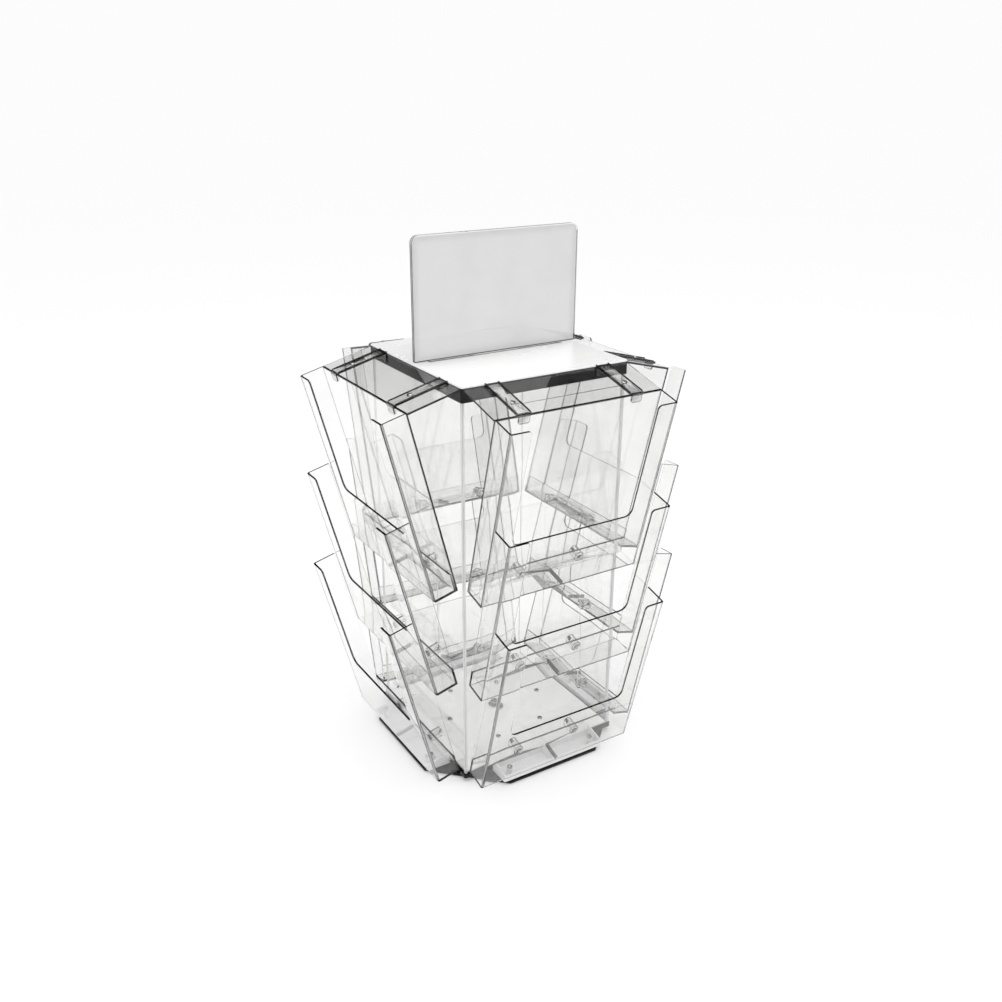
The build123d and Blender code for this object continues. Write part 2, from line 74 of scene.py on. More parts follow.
SCREW_HEAD_RADIUS = 3.4 * MM
SCREW_HEAD_HEIGHT = 1.8 * MM
SCREW_SHANK_RADIUS = 1.45 * MM
RECESS_WIDTH = 0.9 * MM
ARM_SCREW_AT = 77.0 * MM
ARM_SCREW_OUT = 159.5 * MM
ARM_WALL = 1.6 * MM
ARM_SCREW_LENGTH = 5.4 * MM
FOOT_SCREW_AT = 63.5 * MM
FOOT_SCREW_IN = 14.2 * MM
FOOT_SCREW_LENGTH = 10.0 * MM
RACE_SCREWS = 6
RACE_SCREW_CIRCLE = 70.5 * MM
RACE_SCREW_LENGTH = 4.6 * MM
BALLS = 24
BALL_TRACK = 62.5 * MM
BALL_RADIUS = 1.98 * MM

# shape of the screw and rivet heads, as shares of the head's own size
ROUND_SIDES = 28
HEAD_RIM = 0.45                # straight part of the head's height
SHOULDERS = ((0.35, 0.86), (0.2, 0.7))   # height of each shoulder, and how far it is drawn in
SHANK_CENTRE = -0.45           # middle of the shank below the seat, so that its end is in the head
RECESS_SPAN = 1.15             # length of the cross recess
RECESS_DEPTH = 1.1

# ---------------------------------------------------------------- finish of the edges
SOFTENED = 0.3 * MM            # the rounding that polishing leaves on a clear sheet
BROKEN_EDGE = 0.35 * MM        # the rounding on black and white parts
SHARP = math.radians(35)
SLIGHT = math.radians(2)
FLAT = math.radians(0.6)
WELD = 0.002 * MM
THICKEST_EDGE = 4.4 * MM       # a face narrower than this is a sheet's cut edge
WIDEST_STRIP = 1.6 * MM        # a strip of a rounded corner is narrower than this
ARM_LINE = 0.5 * MM            # width of the painted dark outline (painted shade) of the clip arms and their hooks
PANEL_LINE = 0.8 * MM          # width of the painted dark line (painted shade) down each side of the core's corners
UPRIGHT_FACE = 0.5             # a face whose normal rises less than this is an upright one
# the sign card darkens towards its edges as painted shade, over this width
CARD_SHADE_WIDTH = 9.0 * MM
PAINTED_BORDER_SHADE = 0.84            # painted shade: how dark the card's border starts at its edge


# ---------------------------------------------------------------- small node helpers
def place(tree, kind, values=(), **settings):
    """Adds a node, sets its own settings, then fills its input sockets by name or number."""
    made = tree.nodes.new(kind)
    for key, value in settings.items():
        setattr(made, key, value)
    for key, value in dict(values).items():
        made.inputs[key].default_value = value
    return made


def wire(tree, *pairs):
    """Links each output to the input beside it."""
    for source, target in pairs:
        tree.links.new(source, target)


def surface_group(name, inputs, outputs):
    """An empty shader group with named sockets, and its two end nodes."""
    tree = bpy.data.node_groups.new(name, "ShaderNodeTree")
    for label, kind, value in inputs:
        socket = tree.interface.new_socket(name=label, in_out="INPUT", socket_type=kind)
        socket.default_value = value
    for label, kind in outputs:
        tree.interface.new_socket(name=label, in_out="OUTPUT", socket_type=kind)
    start = tree.nodes.new("NodeGroupInput")
    end = tree.nodes.new("NodeGroupOutput")
    return tree, start.outputs, end.inputs


def darken(tree, colour, shade):
    """Multiplies a colour by a grey that changes over the surface."""
    mix = place(tree, "ShaderNodeMix", {0: 1.0}, data_type="RGBA", blend_type="MULTIPLY")
    wire(tree, (colour, mix.inputs[6]), (shade, mix.inputs[7]))
    return mix.outputs[2]


def times(tree, socket, factor):
    """A value that is a fixed share of another."""
    share = place(tree, "ShaderNodeMath", {1: factor}, operation="MULTIPLY")
    wire(tree, (socket, share.inputs[0]))
    return share.outputs[0]


def any_of(tree, *masks):
    """One when any of the given masks is one."""
    result = masks[0]
    for mask in masks[1:]:
        either = place(tree, "ShaderNodeMath", operation="MAXIMUM")
        wire(tree, (result, either.inputs[0]), (mask, either.inputs[1]))
        result = either.outputs[0]
    return result


def grey(level):
    return (level, level, level, 1)


# ---------------------------------------------------------------- effects that materials share
def make_hand_marks():
    """Faint smears and hairline scratches of a thing that is wiped and handled."""
    tree, given, result = surface_group(
        "hand_marks",
        [("Colour", "NodeSocketColor", (1, 1, 1, 1)), ("Smear", "NodeSocketFloat", 0.03),
         ("Polish", "NodeSocketFloat", 0.0), ("Shade", "NodeSocketFloat", 0.03)],
        [("Colour", "NodeSocketColor"), ("Roughness", "NodeSocketFloat"), ("Height", "NodeSocketFloat")])
    where = tree.nodes.new("ShaderNodeTexCoord")
    smear = place(tree, "ShaderNodeTexNoise", {"Scale": 16.0, "Detail": 5.0, "Roughness": 0.6})
    patches = place(tree, "ShaderNodeMapRange", {"From Min": 0.45, "From Max": 0.72})
    stretch = place(tree, "ShaderNodeMapping", {"Rotation": (0.35, 0.2, 0.5), "Scale": (900, 40, 40)})
    lines = place(tree, "ShaderNodeTexNoise", {"Scale": 1.0, "Detail": 2.0})
    scratches = place(tree, "ShaderNodeMapRange", {"From Min": 0.68, "From Max": 0.76})
    both = place(tree, "ShaderNodeMath", operation="MAXIMUM")
    rough = place(tree, "ShaderNodeMath", operation="MULTIPLY_ADD")
    cover = place(tree, "ShaderNodeMath", operation="MULTIPLY")
    shade = place(tree, "ShaderNodeMath", {0: 1.0}, operation="SUBTRACT")
    wire(tree,
         (where.outputs["Object"], smear.inputs["Vector"]),
         (smear.outputs["Fac"], patches.inputs["Value"]),
         (where.outputs["Object"], stretch.inputs["Vector"]),
         (stretch.outputs["Vector"], lines.inputs["Vector"]),
         (lines.outputs["Fac"], scratches.inputs["Value"]),
         (patches.outputs["Result"], both.inputs[0]),
         (scratches.outputs["Result"], both.inputs[1]),
         (both.outputs[0], rough.inputs[0]),
         (given["Smear"], rough.inputs[1]),
         (given["Polish"], rough.inputs[2]),
         (patches.outputs["Result"], cover.inputs[0]),
         (given["Shade"], cover.inputs[1]),
         (cover.outputs[0], shade.inputs[1]),
         (darken(tree, given["Colour"], shade.outputs[0]), result["Colour"]),
         (rough.outputs[0], result["Roughness"]),
         (both.outputs[0], result["Height"]))
    return tree


def make_moulded_grain():
    """The fine satin grain of moulded plastic and rubber, with slow changes of tone."""
    tree, given, result = surface_group(
        "moulded_grain",
        [("Colour", "NodeSocketColor", (1, 1, 1, 1)), ("Grain", "NodeSocketFloat", 1500.0),
         ("Tone", "NodeSocketFloat", 0.12), ("Satin", "NodeSocketFloat", 0.5)],
        [("Colour", "NodeSocketColor"), ("Roughness", "NodeSocketFloat"), ("Height", "NodeSocketFloat")])
    where = tree.nodes.new("ShaderNodeTexCoord")
    grain = place(tree, "ShaderNodeTexNoise", {"Detail": 3.0})
    slow = place(tree, "ShaderNodeTexNoise", {"Scale": 35.0, "Detail": 3.0})
    tone = place(tree, "ShaderNodeMath", operation="MULTIPLY")
    shade = place(tree, "ShaderNodeMath", {0: 1.0}, operation="SUBTRACT")
    spread = place(tree, "ShaderNodeMath", {1: 0.12}, operation="MULTIPLY")
    rough = place(tree, "ShaderNodeMath", operation="ADD")
    wire(tree,
         (where.outputs["Object"], grain.inputs["Vector"]),
         (given["Grain"], grain.inputs["Scale"]),
         (where.outputs["Object"], slow.inputs["Vector"]),
         (slow.outputs["Fac"], tone.inputs[0]),
         (given["Tone"], tone.inputs[1]),
         (tone.outputs[0], shade.inputs[1]),
         (slow.outputs["Fac"], spread.inputs[0]),
         (spread.outputs[0], rough.inputs[0]),
         (given["Satin"], rough.inputs[1]),
         (darken(tree, given["Colour"], shade.outputs[0]), result["Colour"]),
         (rough.outputs[0], result["Roughness"]),
         (grain.outputs["Fac"], result["Height"]))
    return tree


def make_tool_marks():
    """Fine turned or rolled lines and dull spots on plated steel."""
    tree, given, result = surface_group(
        "tool_marks",
        [("Colour", "NodeSocketColor", (1, 1, 1, 1)), ("Stretch", "NodeSocketVector", (200, 200, 4000)),
         ("Dull", "NodeSocketFloat", 0.2), ("Polish", "NodeSocketFloat", 0.15)],
        [("Colour", "NodeSocketColor"), ("Roughness", "NodeSocketFloat"), ("Height", "NodeSocketFloat")])
    where = tree.nodes.new("ShaderNodeTexCoord")
    stretch = place(tree, "ShaderNodeVectorMath", operation="MULTIPLY")
    lines = place(tree, "ShaderNodeTexNoise", {"Scale": 1.0, "Detail": 3.0})
    spots = place(tree, "ShaderNodeTexNoise", {"Scale": 260.0, "Detail": 4.0})
    shade = place(tree, "ShaderNodeMapRange", {"From Min": 0.3, "From Max": 0.7, "To Min": 0.82})
    rough = place(tree, "ShaderNodeMath", operation="MULTIPLY_ADD")
    wire(tree,
         (where.outputs["Object"], stretch.inputs[0]),
         (given["Stretch"], stretch.inputs[1]),
         (stretch.outputs["Vector"], lines.inputs["Vector"]),
         (where.outputs["Object"], spots.inputs["Vector"]),
         (spots.outputs["Fac"], shade.inputs["Value"]),
         (spots.outputs["Fac"], rough.inputs[0]),
         (given["Dull"], rough.inputs[1]),
         (given["Polish"], rough.inputs[2]),
         (darken(tree, given["Colour"], shade.outputs["Result"]), result["Colour"]),
         (rough.outputs[0], result["Roughness"]),
         (lines.outputs["Fac"], result["Height"]))
    return tree


HAND_MARKS = make_hand_marks()
MOULDED_GRAIN = make_moulded_grain()
TOOL_MARKS = make_tool_marks()


# ---------------------------------------------------------------- materials
FINE_RELIEF = 0.05 * MM
METAL_RELIEF = 0.03 * MM
ACRYLIC_IOR = 1.49
CLEAR_TINT = (0.968, 0.968, 0.964, 1)
# near-black tint of the cut edges: painted shade for the dark refraction lines along the sheets' edges
EDGE_PAINTED_SHADE_TINT = (0.02, 0.02, 0.021, 1)
# dark grey tint of the bent corners and rounded strips: painted shade
CORNER_PAINTED_SHADE_TINT = (0.28, 0.28, 0.285, 1)
SHEET_PASSES = 0.965           # share of lamp light that goes on through a sheet's face
CORNER_PASSES = 0.9
EDGE_PASSES = 0.8


def start_material(name, effect, values, bump, depth, **constants):
    """A Principled material whose colour, roughness and normal come from one shared effect."""
    material = bpy.data.materials.new(name)
    material.use_nodes = True
    tree = material.node_tree
    shader = tree.nodes["Principled BSDF"]
    marks = place(tree, "ShaderNodeGroup", node_tree=effect)
    for key, value in values.items():
        marks.inputs[key].default_value = value
    relief = place(tree, "ShaderNodeBump", {"Strength": bump, "Distance": depth})
    wire(tree,
         (marks.outputs["Colour"], shader.inputs["Base Color"]),
         (marks.outputs["Roughness"], shader.inputs["Roughness"]),
         (marks.outputs["Height"], relief.inputs["Height"]),
         (relief.outputs["Normal"], shader.inputs["Normal"]))
    for key, value in constants.items():
        shader.inputs[key.replace("_", " ")].default_value = value
    return material, tree, shader


def clear_acrylic(name, values, bump, passes):
    """Acrylic that bends the view; lamp light passes it straight, so what is behind stays lit."""
    material, tree, shader = start_material(
        name, HAND_MARKS, values, bump, FINE_RELIEF, Transmission_Weight=1.0, IOR=ACRYLIC_IOR)
    path = tree.nodes.new("ShaderNodeLightPath").outputs
    passing = place(tree, "ShaderNodeBsdfTransparent", {"Color": grey(passes)})
    mix = tree.nodes.new("ShaderNodeMixShader")
    wire(tree,
         (any_of(tree, path["Is Shadow Ray"], path["Is Diffuse Ray"]), mix.inputs[0]),
         (shader.outputs[0], mix.inputs[1]),
         (passing.outputs[0], mix.inputs[2]),
         (mix.outputs[0], tree.nodes["Material Output"].inputs["Surface"]))
    return material


def clear_sheet():
    values = {"Colour": CLEAR_TINT, "Smear": 0.035, "Shade": 0.05}
    return clear_acrylic("clear_sheet", values, 0.02, SHEET_PASSES)


def cut_edge_painted_shade():
    """Sawn and polished edges of the clear sheets, tinted near black: painted shade for the dark lines
    that refraction draws along them.
    """
    values = {"Colour": EDGE_PAINTED_SHADE_TINT, "Smear": 0.12, "Polish": 0.06, "Shade": 0.25}
    return clear_acrylic("cut_edge_painted_shade", values, 0.05, EDGE_PASSES)


def rounded_corner_painted_shade():
    """Bent corners of the pockets, tinted dark grey: painted shade for how the sheet looks darker where
    it is seen lengthwise; the rounded strips along the sheets' edges take it too.
    """
    values = {"Colour": CORNER_PAINTED_SHADE_TINT, "Smear": 0.06, "Polish": 0.01, "Shade": 0.15}
    return clear_acrylic("rounded_corner_painted_shade", values, 0.03, CORNER_PASSES)


def frosted_edge():
    """The core's upright edges: milled, so that they catch the light as a pale strip."""
    values = {"Colour": grey(0.93), "Smear": 0.2, "Polish": 0.35, "Shade": 0.08}
    return start_material("frosted_edge", HAND_MARKS, values, 0.1, FINE_RELIEF,
                          Transmission_Weight=0.35, IOR=ACRYLIC_IOR)[0]


def black_acrylic():
    values = {"Colour": (0.007, 0.007, 0.008, 1), "Smear": 0.12, "Polish": 0.09, "Shade": 0.1}
    return start_material("black_acrylic", HAND_MARKS, values, 0.03, FINE_RELIEF,
                          Specular_IOR_Level=0.22)[0]


def white_acrylic():
    values = {"Colour": (0.9, 0.9, 0.895, 1), "Smear": 0.12, "Polish": 0.22, "Shade": 0.03}
    return start_material("white_acrylic", HAND_MARKS, values, 0.03, FINE_RELIEF)[0]


def satin_white():
    values = {"Colour": grey(0.88), "Grain": 900.0, "Tone": 0.1, "Satin": 0.22}
    return start_material("satin_white", MOULDED_GRAIN, values, 0.12, FINE_RELIEF)[0]


def black_moulded():
    values = {"Colour": grey(0.03), "Grain": 1500.0, "Satin": 0.42}
    return start_material("black_moulded", MOULDED_GRAIN, values, 0.3, 0.08 * MM)[0]


def rubber_black():
    values = {"Colour": grey(0.035), "Grain": 1100.0, "Tone": 0.25, "Satin": 0.72}
    return start_material("rubber_black", MOULDED_GRAIN, values, 0.4, 0.1 * MM)[0]


def nylon_natural():
    values = {"Colour": (0.82, 0.81, 0.76, 1), "Grain": 1300.0, "Tone": 0.1, "Satin": 0.4}
    return start_material("nylon_natural", MOULDED_GRAIN, values, 0.15, FINE_RELIEF)[0]


def zinc_steel():
    values = {"Colour": (0.62, 0.63, 0.65, 1), "Dull": 0.25, "Polish": 0.14}
    return start_material("zinc_steel", TOOL_MARKS, values, 0.1, METAL_RELIEF, Metallic=1.0)[0]


def bearing_steel():
    values = {"Colour": (0.56, 0.57, 0.58, 1), "Stretch": (600, 600, 9000), "Dull": 0.3, "Polish": 0.12}
    return start_material("bearing_steel", TOOL_MARKS, values, 0.15, METAL_RELIEF, Metallic=1.0)[0]


def ball_chrome():
    values = {"Colour": (0.8, 0.8, 0.82, 1), "Dull": 0.06, "Polish": 0.02}
    return start_material("ball_chrome", TOOL_MARKS, values, 0.02, 0.02 * MM, Metallic=1.0)[0]


def card_grey():
    """Plain pale grey card: paper fibre, and a soft darker border that is painted shade."""
    values = {"Colour": (0.80, 0.80, 0.805, 1), "Grain": 2600.0, "Tone": 0.03, "Satin": 0.6}
    material, tree, shader = start_material("card_grey", MOULDED_GRAIN, values, 0.2, 0.04 * MM)
    low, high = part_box("sign_card")
    middle = (low + high) / 2
    half = (high - low) / 2
    where = tree.nodes.new("ShaderNodeTexCoord")
    centred = place(tree, "ShaderNodeVectorMath", {1: middle}, operation="SUBTRACT")
    outward = place(tree, "ShaderNodeVectorMath", operation="ABSOLUTE")
    inward = place(tree, "ShaderNodeVectorMath", {0: half}, operation="SUBTRACT")
    split = tree.nodes.new("ShaderNodeSeparateXYZ")
    nearest = place(tree, "ShaderNodeMath", operation="MINIMUM")
    painted_border = place(tree, "ShaderNodeMapRange", {"From Max": CARD_SHADE_WIDTH, "To Min": PAINTED_BORDER_SHADE})
    marks = shader.inputs["Base Color"].links[0].from_socket
    wire(tree,
         (where.outputs["Object"], centred.inputs[0]),
         (centred.outputs["Vector"], outward.inputs[0]),
         (outward.outputs["Vector"], inward.inputs[1]),
         (inward.outputs["Vector"], split.inputs[0]),
         (split.outputs["X"], nearest.inputs[0]),
         (split.outputs["Z"], nearest.inputs[1]),
         (nearest.outputs[0], painted_border.inputs["Value"]),
         (darken(tree, marks, painted_border.outputs["Result"]), shader.inputs["Base Color"]))
    return material


FINISH = {
    "clear_plastic": clear_sheet(),
    "black_acrylic": black_acrylic(),
    "white_acrylic": white_acrylic(),
    "satin_white": satin_white(),
    "black_moulded": black_moulded(),
    "rubber_black": rubber_black(),
    "zinc_steel": zinc_steel(),
    "bearing_steel": bearing_steel(),
    "ball_chrome": ball_chrome(),
    "nylon_natural": nylon_natural(),
    "card_grey": card_grey(),
}
CUT_EDGE_PAINTED_SHADE = cut_edge_painted_shade()
ROUNDED_CORNER_PAINTED_SHADE = rounded_corner_painted_shade()
FROSTED_EDGE = frosted_edge()


def paint_frame():
    """Every node of the frame takes the finish of its slot."""
    for name, node in frame["nodes"].items():
        node.data.materials.clear()
        node.data.materials.append(FINISH[SLOT_OF[name]])


# ---------------------------------------------------------------- sheets with worked edges
def is_sharp(edge):
    return len(edge.link_faces) == 2 and edge.calc_face_angle() > SHARP


def is_cut_edge(face):
    """True for the narrow face between the two sides of a sheet."""
    width = 2 * face.calc_area() / face.calc_perimeter()
    if width > THICKEST_EDGE:
        return False
    middles = [(edge.verts[0].co + edge.verts[1].co) / 2 for edge in face.edges if is_sharp(edge)]
    apart = [(a - b).length for k, a in enumerate(middles) for b in middles[:k]]
    return bool(apart) and min(apart) < THICKEST_EDGE


def is_bend(face):
    """True for one strip of a rounded corner, which joins its neighbours at a small angle."""
    width = 2 * face.calc_area() / face.calc_perimeter()
    soft = [edge for edge in face.edges
            if len(edge.link_faces) == 2 and SLIGHT < edge.calc_face_angle() < SHARP]
    return width < WIDEST_STRIP and len(soft) >= 2


def plain_face(face):
    return 0


def pocket_face(face):
    """Sheet, cut edge or rounded corner; the last two take finishes tinted dark as painted shade."""
    if is_cut_edge(face):
        return 1
    return 2 if is_bend(face) else 0


def panel_face(face):
    """Sheet, or the milled face at its upright end."""
    return 1 if is_cut_edge(face) and abs(face.normal.z) < UPRIGHT_FACE else 0


def finished_copy(node, rounding, finishes=(), sort_face=plain_face, line=-1, smooth=False):
    """A welded copy of a node, its sharp edges lightly rounded and its faces sorted by finish.

    line is the finish of the rounded strips themselves, or -1 to take their neighbours'.
    """
    shape = bmesh.new()
    shape.from_mesh(frame["nodes"][node].data)
    bmesh.ops.remove_doubles(shape, verts=shape.verts, dist=WELD)
    bmesh.ops.dissolve_limit(shape, angle_limit=FLAT, verts=shape.verts, edges=shape.edges)
    shape.normal_update()
    for face in shape.faces:
        face.smooth = smooth
        face.material_index = sort_face(face)
    sharp = [edge for edge in shape.edges if is_sharp(edge)]
    bmesh.ops.bevel(shape, geom=sharp, offset=rounding, offset_type="OFFSET", segments=1,
                    profile=0.5, affect="EDGES", clamp_overlap=True, material=line)
    mesh = bpy.data.meshes.new(node + "_finished")
    shape.to_mesh(mesh)
    shape.free()
    if "custom_normal" in mesh.attributes:
        mesh.attributes.remove(mesh.attributes["custom_normal"])
    mesh.set_sharp_from_angle(angle=SHARP)
    mesh.materials.append(FINISH[SLOT_OF[node]])
    for finish in finishes:
        mesh.materials.append(finish)
    piece = bpy.data.objects.new(node + "_finished", mesh)
    stand_for(piece, node)
    return piece


def stand_for(piece, node):
    """Puts a piece in the scene in place of a node, on its body."""
    bpy.context.scene.collection.objects.link(piece)
    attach(piece, BODY_OF[node])
    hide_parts(node)


def finish_sheets():
    # the clear sheets' cut edges and rounded strips take finishes tinted dark as painted shade
    dark_painted_finishes = (CUT_EDGE_PAINTED_SHADE, ROUNDED_CORNER_PAINTED_SHADE)
    for side in SIDES:
        for tier in TIERS:
            finished_copy(f"pocket_{tier}_{side}", SOFTENED, dark_painted_finishes, pocket_face, line=2)
        for sheet in ("back_sheet", "roof_plate"):
            finished_copy(f"{sheet}_{side}", SOFTENED, dark_painted_finishes, pocket_face, line=2)
        finished_copy(f"clip_arms_{side}", ARM_LINE, dark_painted_finishes, pocket_face, line=1)
        # the core panels' rounded strips take the near-black cut edge finish: painted shade lines down
        # the corners
        finished_copy(f"core_panel_{side}", PANEL_LINE, (FROSTED_EDGE, CUT_EDGE_PAINTED_SHADE), panel_face, line=2)
        finished_copy(f"foot_bracket_{side}", BROKEN_EDGE)
    finished_copy("pocket_spacers", SOFTENED, smooth=True)
    finished_copy("sign_front_sheet", SOFTENED)
    finished_copy("sign_back_sheet", SOFTENED)
    for node in ("base_plate", "bottom_rim", "cap_rim", "deck_plate", "sign_socket"):
        finished_copy(node, BROKEN_EDGE)


# ---------------------------------------------------------------- repeated fasteners
def form_tree(name, sizes):
    """An empty geometry tree with a geometry socket, named sizes in metres and a finish."""
    tree = bpy.data.node_groups.new(name, "GeometryNodeTree")
    tree.interface.new_socket(name="Geometry", in_out="INPUT", socket_type="NodeSocketGeometry")
    for label, kind in sizes:
        tree.interface.new_socket(name=label, in_out="INPUT", socket_type=kind)
    tree.interface.new_socket(name="Finish", in_out="INPUT", socket_type="NodeSocketMaterial")
    tree.interface.new_socket(name="Geometry", in_out="OUTPUT", socket_type="NodeSocketGeometry")
    return tree, tree.nodes.new("NodeGroupInput").outputs, tree.nodes.new("NodeGroupOutput").inputs


def raise_by(tree, shape, height):
    """Moves a shape up its own axis."""
    lift = tree.nodes.new("ShaderNodeCombineXYZ")
    move = tree.nodes.new("GeometryNodeTransform")
    wire(tree, (height, lift.inputs["Z"]), (shape, move.inputs["Geometry"]),
         (lift.outputs[0], move.inputs["Translation"]))
    return move.outputs["Geometry"]


def domed_head(tree, given):
    """A head with a straight rim and two shoulders drawn in towards its crown."""
    rim = place(tree, "GeometryNodeMeshCylinder", {"Vertices": ROUND_SIDES}, fill_type="NGON")
    rim_height = times(tree, given["Head height"], HEAD_RIM)
    wire(tree, (given["Head radius"], rim.inputs["Radius"]), (rim_height, rim.inputs["Depth"]))
    shape = raise_by(tree, rim.outputs["Mesh"], times(tree, rim_height, 0.5))
    crown = rim.outputs["Top"]
    for step, narrowing in SHOULDERS:
        grow = place(tree, "GeometryNodeExtrudeMesh", {"Individual": False}, mode="FACES")
        draw_in = place(tree, "GeometryNodeScaleElements", {"Scale": narrowing}, domain="FACE")
        wire(tree,
             (shape, grow.inputs["Mesh"]),
             (crown, grow.inputs["Selection"]),
             (times(tree, given["Head height"], step), grow.inputs["Offset Scale"]),
             (grow.outputs["Mesh"], draw_in.inputs["Geometry"]),
             (grow.outputs["Top"], draw_in.inputs["Selection"]))
        shape = draw_in.outputs["Geometry"]
        crown = grow.outputs["Top"]
    return shape


def with_shank(tree, given, head):
    """Joins the shank to the head; it reaches a little way into it."""
    shank = place(tree, "GeometryNodeMeshCylinder", {"Vertices": ROUND_SIDES}, fill_type="NGON")
    union = place(tree, "GeometryNodeMeshBoolean", operation="UNION")
    down = times(tree, given["Shank length"], SHANK_CENTRE)
    wire(tree,
         (given["Shank radius"], shank.inputs["Radius"]),
         (given["Shank length"], shank.inputs["Depth"]),
         (head, union.inputs["Mesh 2"]),
         (raise_by(tree, shank.outputs["Mesh"], down), union.inputs["Mesh 2"]))
    return union.outputs["Mesh"]


def with_cross(tree, given, head):
    """Cuts a cross recess for a driver into the crown."""
    cut = place(tree, "GeometryNodeMeshBoolean", operation="DIFFERENCE")
    wire(tree, (head, cut.inputs["Mesh 1"]))
    long = times(tree, given["Head radius"], RECESS_SPAN)
    deep = times(tree, given["Head height"], RECESS_DEPTH)
    for width, length in ((given["Recess width"], long), (long, given["Recess width"])):
        size = tree.nodes.new("ShaderNodeCombineXYZ")
        bar = tree.nodes.new("GeometryNodeMeshCube")
        wire(tree,
             (width, size.inputs["X"]),
             (length, size.inputs["Y"]),
             (deep, size.inputs["Z"]),
             (size.outputs[0], bar.inputs["Size"]),
             (raise_by(tree, bar.outputs["Mesh"], given["Head height"]), cut.inputs["Mesh 2"]))
    return cut.outputs["Mesh"]


def fastener_tree(name, recessed):
    """Sets one fastener on every seat, turned as the seat's facing says."""
    sizes = [(label, "NodeSocketFloat") for label in
             ("Head radius", "Head height", "Shank radius", "Shank length")]
    if recessed:
        sizes.append(("Recess width", "NodeSocketFloat"))
    tree, given, result = form_tree(name, sizes)
    shape = with_shank(tree, given, domed_head(tree, given))
    if recessed:
        shape = with_cross(tree, given, shape)
    facing = place(tree, "GeometryNodeInputNamedAttribute", {"Name": "facing"}, data_type="FLOAT_VECTOR")
    spread = tree.nodes.new("GeometryNodeInstanceOnPoints")
    realise = tree.nodes.new("GeometryNodeRealizeInstances")
    paint = tree.nodes.new("GeometryNodeSetMaterial")
    wire(tree,
         (given["Geometry"], spread.inputs["Points"]),
         (shape, spread.inputs["Instance"]),
         (facing.outputs["Attribute"], spread.inputs["Rotation"]),
         (spread.outputs["Instances"], realise.inputs["Geometry"]),
         (realise.outputs["Geometry"], paint.inputs["Geometry"]),
         (given["Finish"], paint.inputs["Material"]),
         (paint.outputs["Geometry"], result["Geometry"]))
    return tree


def ball_ring_tree():
    """Balls evenly spaced on a level circle."""
    sizes = [("Count", "NodeSocketInt"), ("Circle radius", "NodeSocketFloat"),
             ("Ball radius", "NodeSocketFloat"), ("Height", "NodeSocketFloat")]
    tree, given, result = form_tree("ball_ring", sizes)
    circle = tree.nodes.new("GeometryNodeMeshCircle")
    ball = place(tree, "GeometryNodeMeshUVSphere", {"Segments": 24, "Rings": 12})
    spread = tree.nodes.new("GeometryNodeInstanceOnPoints")
    realise = tree.nodes.new("GeometryNodeRealizeInstances")
    paint = tree.nodes.new("GeometryNodeSetMaterial")
    wire(tree,
         (given["Count"], circle.inputs["Vertices"]),
         (given["Circle radius"], circle.inputs["Radius"]),
         (given["Ball radius"], ball.inputs["Radius"]),
         (raise_by(tree, circle.outputs["Mesh"], given["Height"]), spread.inputs["Points"]),
         (ball.outputs["Mesh"], spread.inputs["Instance"]),
         (spread.outputs["Instances"], realise.inputs["Geometry"]),
         (realise.outputs["Geometry"], paint.inputs["Geometry"]),
         (given["Finish"], paint.inputs["Material"]),
         (paint.outputs["Geometry"], result["Geometry"]))
    return tree


def grow_piece(node, seats, tree, values):
    """Runs a tree on a mesh of seats and keeps the result as a plain mesh in place of a node."""
    points = bpy.data.meshes.new(node + "_seats")
    points.from_pydata([seat.to_translation() for seat in seats], [], [])
    facing = points.attributes.new("facing", "FLOAT_VECTOR", "POINT")
    for spot, seat in zip(facing.data, seats):
        spot.vector = seat.to_euler()
    holder = bpy.data.objects.new(node + "_seats", points)
    bpy.context.scene.collection.objects.link(holder)
    modifier = holder.modifiers.new("form", "NODES")
    modifier.node_group = tree
    values = dict(values, Finish=FINISH[SLOT_OF[node]])
    for item in tree.interface.items_tree:
        if item.in_out == "INPUT" and item.name in values:
            modifier[item.identifier] = values[item.name]
    holder.update_tag()
    depsgraph = bpy.context.evaluated_depsgraph_get()
    mesh = bpy.data.meshes.new_from_object(holder.evaluated_get(depsgraph))
    holder.modifiers.remove(modifier)
    bpy.data.objects.remove(holder)
    mesh.name = node + "_formed"
    for polygon in mesh.polygons:
        polygon.use_smooth = True
    mesh.set_sharp_from_angle(angle=SHARP)
    piece = bpy.data.objects.new(node + "_formed", mesh)
    stand_for(piece, node)


def pocket_place(side, tier):
    """Where a pocket's own axes lie: x along the side, -y out, z up the slope."""
    turn = Matrix.Rotation(math.radians(SIDES[side]), 4, "Z")
    shift = Matrix.Translation((0, -POCKET_TOP_OUT, POCKET_TOP_Z - tier * TIER_PITCH))
    return turn @ shift @ Matrix.Rotation(TILT, 4, "X")


def paired_seats(side, tier, half, y, z, turn=0.0):
    """Two seats, left and right of a pocket's middle."""
    own = [Matrix.Translation((x, y, z)) @ Matrix.Rotation(turn, 4, "X") for x in (-half, half)]
    return [pocket_place(side, tier) @ seat for seat in own]


def ring_seats(count, radius, height):
    """Seats on a level circle about the turning axis."""
    turns = [2 * math.pi * k / count for k in range(count)]
    return [Matrix.Translation((radius * math.cos(a), radius * math.sin(a), height)) for a in turns]


